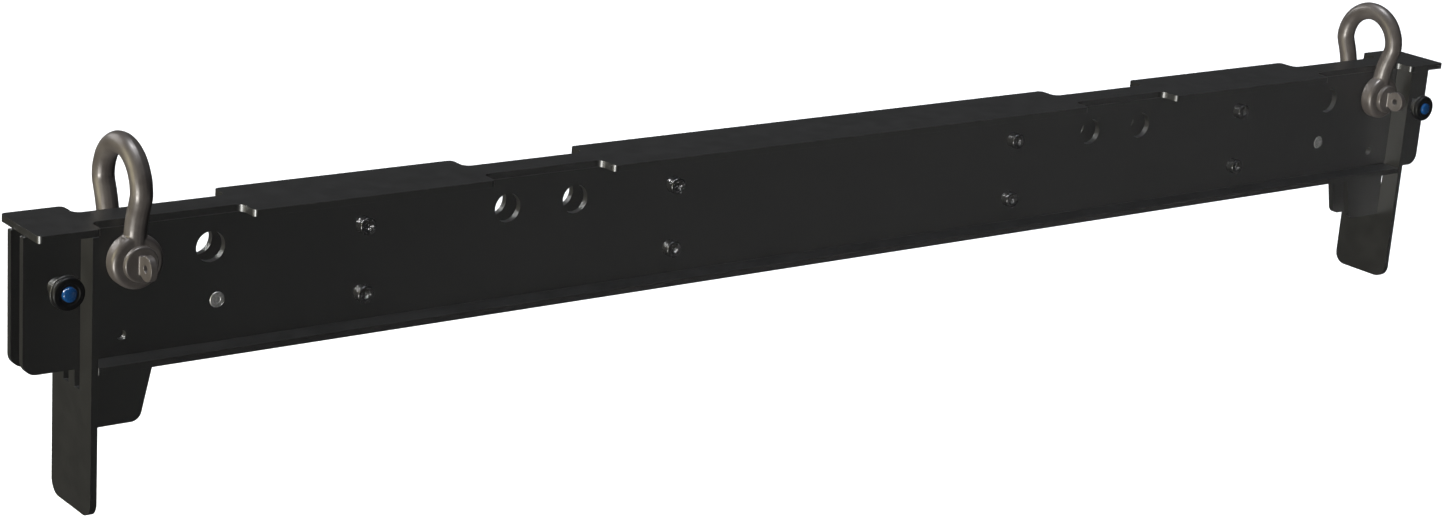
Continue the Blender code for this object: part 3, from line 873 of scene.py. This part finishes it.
LOCK_RADIUS = 5 * MM
NECK_RADIUS = 6.5 * MM
KNOB_RADIUS = 12 * MM
KNOB_BACK = 26.5 * MM
KNOB_FRONT = 28.8 * MM
FACE_FRONT = 33 * MM
FACE_RADIUS = 11.6 * MM
BUTTON_RADIUS = 5 * MM
BUTTON_BORE_RADIUS = 5.4 * MM
BUTTON_BACK = 29.8 * MM
BUTTON_EDGE = 33.8 * MM
BUTTON_DOME = 1.5 * MM
BUTTON_TRAVEL = 3 * MM
BALL_RADIUS = 2 * MM
BALL_SINK = 1.1 * MM         # how far a ball's centre lies below the pin's surface
BALL_FROM_TIP = 3.6 * MM
DISH_DEPTH = 0.6 * MM        # shallow dish in the face ring, round the button
DISH_FLOOR_RADIUS = BUTTON_BORE_RADIUS + 1.6 * MM
DISH_RIM_RADIUS = BUTTON_BORE_RADIUS + 2.4 * MM


def ball_mesh(place):
    work = bmesh.new()
    matrix = Matrix.Translation(place)
    bmesh.ops.create_uvsphere(work, u_segments=24, v_segments=16, radius=BALL_RADIUS, matrix=matrix)
    ball = bpy.data.meshes.new("ball_work")
    work.to_mesh(ball)
    work.free()
    return ball


def lock_pin_mesh():
    """The pin, its two locking balls near the tip, and the knob bored out for the button."""
    tip = -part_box("right_lock_pin")[1].y
    seat = SIDE_OUTER_Y + GAP
    floor = BUTTON_BACK - BUTTON_TRAVEL - GAP
    corners = [
        (0, floor, 0),
        (BUTTON_BORE_RADIUS, floor, 0.2 * MM),
        (BUTTON_BORE_RADIUS, KNOB_FRONT, 0.2 * MM),
        (KNOB_RADIUS, KNOB_FRONT, 0.4 * MM),
        (KNOB_RADIUS, KNOB_BACK, 0.6 * MM),
        (NECK_RADIUS, KNOB_BACK, 1.0 * MM),
        (NECK_RADIUS, seat, 0.4 * MM),
        (LOCK_RADIUS, seat, 0.2 * MM),
        (LOCK_RADIUS, tip, 1.2 * MM),
        (0, tip, 0),
    ]
    mesh = lathed(corners, 5)
    for side in (-1, 1):
        ball = ball_mesh((side * (LOCK_RADIUS - BALL_SINK), 0, tip + BALL_FROM_TIP))
        mesh = combined(mesh, ball, "UNION")
    return placed(mesh, UPRIGHT_XZ)


def lock_face_mesh():
    corners = [
        (BUTTON_BORE_RADIUS, FACE_FRONT - DISH_DEPTH, 0.2 * MM),
        (DISH_FLOOR_RADIUS, FACE_FRONT - DISH_DEPTH, 0.5 * MM),
        (DISH_RIM_RADIUS, FACE_FRONT, 0.4 * MM),
        (FACE_RADIUS, FACE_FRONT, 1.7 * MM),
        (FACE_RADIUS, KNOB_FRONT + GAP, 0.2 * MM),
        (BUTTON_BORE_RADIUS, KNOB_FRONT + GAP, 0.1 * MM),
    ]
    return placed(lathed(corners, 4, closed=True), UPRIGHT_XZ)


def button_mesh():
    steps = 14
    dome = []
    for step in range(steps + 1):
        angle = math.pi / 2 * (1 - step / steps)
        radius = 0 if step == 0 else BUTTON_RADIUS * math.cos(angle)
        dome.append((radius, BUTTON_EDGE + BUTTON_DOME * math.sin(angle)))
    profile = dome + [(BUTTON_RADIUS, BUTTON_BACK), (0, BUTTON_BACK)]
    return placed(turned_mesh(profile, 64), UPRIGHT_XZ)


def build_lock_pins(steel, plastic, blue):
    pin = lock_pin_mesh()
    face = lock_face_mesh()
    button = button_mesh()
    for name, side in SIDES.items():
        place = (side * LOCK_PIN.x, 0, LOCK_PIN.z)
        body = name + "_lock"
        node = name + "_lock_pin"
        add_piece(node + "_turned", pin, steel, body, node, place)
        node = name + "_lock_pin_face"
        add_piece(node + "_moulded", face, plastic, body, node, place)
        body = name + "_lock_button"
        node = name + "_lock_pin_button"
        add_piece(node + "_domed", button, blue, body, node, place)


# ---- camera, light and floor ----------------------------------------------------------------

SENSOR_WIDTH = 36.0
LENS = 73.56
CAMERA_PLACE = Vector((-1.4994, -1.7393, 0.5705))
CAMERA_YAW = 38.562        # degrees from +Y towards +X
CAMERA_PITCH = -16.757
CAMERA_ROLL = 4.337
WHITE = (1.0, 1.0, 1.0)
SURROUND = 0.06              # brightness of the world round the object; the camera sees it as 1
FLOOR_DROP = 0.2 * MM
FLOOR_REACH = 40.0


def build_camera():
    yaw, pitch, roll = (math.radians(a) for a in (CAMERA_YAW, CAMERA_PITCH, CAMERA_ROLL))
    ahead = Vector((math.sin(yaw) * math.cos(pitch), math.cos(yaw) * math.cos(pitch), math.sin(pitch)))
    level = Vector((math.cos(yaw), -math.sin(yaw), 0))
    above = level.cross(ahead)
    right = level * math.cos(roll) + above * math.sin(roll)
    up = above * math.cos(roll) - level * math.sin(roll)
    data = bpy.data.cameras.new("camera")
    data.sensor_width = SENSOR_WIDTH
    data.lens = LENS
    data.clip_start = 0.01
    data.clip_end = 200
    camera = bpy.data.objects.new("camera", data)
    turn = Matrix((right, up, -ahead)).transposed().to_4x4()
    camera.matrix_world = Matrix.Translation(CAMERA_PLACE) @ turn
    bpy.context.scene.collection.objects.link(camera)
    bpy.context.scene.camera = camera


def add_softbox(name, place, aim, width, height, radiance, color, shadows):
    """A rectangular light whose surface has the given brightness, turned towards aim."""
    data = bpy.data.lights.new(name, "AREA")
    data.shape = "RECTANGLE"
    data.size = width
    data.size_y = height
    data.energy = radiance * math.pi * width * height
    data.color = color
    data.use_shadow = shadows
    data.cycles.use_multiple_importance_sampling = shadows
    light = bpy.data.objects.new(name, data)
    light.location = place
    light.rotation_mode = "QUATERNION"
    light.rotation_quaternion = (Vector(aim) - Vector(place)).to_track_quat("-Z", "Y")
    bpy.context.scene.collection.objects.link(light)


def add_panel(name, strength, angle, direction, color=WHITE):
    """A broad, far panel of light; direction points from the object towards it.

    Its light reaches into slots and holes without casting shadows, like the even
    surround of a light tent.
    """
    data = bpy.data.lights.new(name, "SUN")
    data.energy = strength
    data.angle = math.radians(angle)
    data.color = color
    data.use_shadow = False
    data.cycles.use_multiple_importance_sampling = False
    light = bpy.data.objects.new(name, data)
    light.rotation_mode = "QUATERNION"
    light.rotation_quaternion = (-Vector(direction)).to_track_quat("-Z", "Y")
    bpy.context.scene.collection.objects.link(light)


def build_lights():
    add_panel("left_strip", 5.6, 9, (-0.88, -0.36, -0.30), (1.0, 1.0, 0.96))
    place = (-2.1, 0.40, 0.31)
    aim = (-0.2, 0, -0.1)
    add_softbox("left_softbox", place, aim, 1.1, 1.1, 6.2, (1.0, 0.92, 0.60), shadows=False)
    add_panel("back_panel", 1.35, 29, (-0.36, 0.84, 0.40))
    add_panel("top_panel", 4.5, 18, (0.0, 0.1, 1.0), (0.92, 0.95, 1.0))
    add_panel("right_panel", 0.095, 27, (0.65, -0.71, -0.25), (1.0, 0.99, 0.97))
    place = (-0.6, 0.2, 3.0)
    aim = (-0.4, 0, 0)
    add_softbox("overhead", place, aim, 4.0, 4.0, 0.16, (0.94, 0.97, 1.0), shadows=True)


def build_world():
    """White behind the object, and a dimmer, even surround for its reflections."""
    world = bpy.data.worlds.new("studio")
    bpy.context.scene.world = world
    world.use_nodes = True
    nodes = world.node_tree.nodes
    links = world.node_tree.links
    nodes.clear()
    seen = nodes.new("ShaderNodeBackground")
    seen.inputs["Color"].default_value = (1, 1, 1, 1)
    seen.inputs["Strength"].default_value = 1.0
    around = nodes.new("ShaderNodeBackground")
    around.inputs["Color"].default_value = (1, 1, 1, 1)
    around.inputs["Strength"].default_value = SURROUND
    mix = nodes.new("ShaderNodeMixShader")
    path = nodes.new("ShaderNodeLightPath")
    output = nodes.new("ShaderNodeOutputWorld")
    links.new(path.outputs["Is Camera Ray"], mix.inputs["Fac"])
    links.new(around.outputs["Background"], mix.inputs[1])
    links.new(seen.outputs["Background"], mix.inputs[2])
    links.new(mix.outputs["Shader"], output.inputs["Surface"])


def build_floor():
    """A plain pale floor that stays dark in the object's own reflections."""
    reach = FLOOR_REACH
    height = cad_low.z - FLOOR_DROP
    mesh = bpy.data.meshes.new("floor")
    corners = [(-reach, -reach), (reach, -reach), (reach, reach), (-reach, reach)]
    mesh.from_pydata([(x, y, height) for x, y in corners], [], [(0, 1, 2, 3)])
    floor = bpy.data.objects.new("floor", mesh)
    bpy.context.scene.collection.objects.link(floor)
    finish = Finish("floor_paper", 0.9, specular=0.0)
    paper = finish.mix(finish.noise(3, 2), (0.86, 0.86, 0.86), (0.90, 0.90, 0.90))
    seen = finish.nodes.new("ShaderNodeLightPath").outputs["Is Camera Ray"]
    finish.color(finish.mix(seen, (0.04, 0.04, 0.04), paper))
    mesh.materials.append(finish.material)


bpy.context.scene.view_settings.view_transform = "Standard"
build_camera()
build_world()
build_lights()
build_floor()
coating = black_coating()
plating = zinc()
build_top_plate(coating)
build_side_plates(coating)
build_flanges(coating)
build_legs(coating)
build_screws(blackened_steel(), plating)
build_cross_pins(plating)
build_shackles(forged_steel())
build_lock_pins(bright_steel(), black_plastic(), blue_anodised())
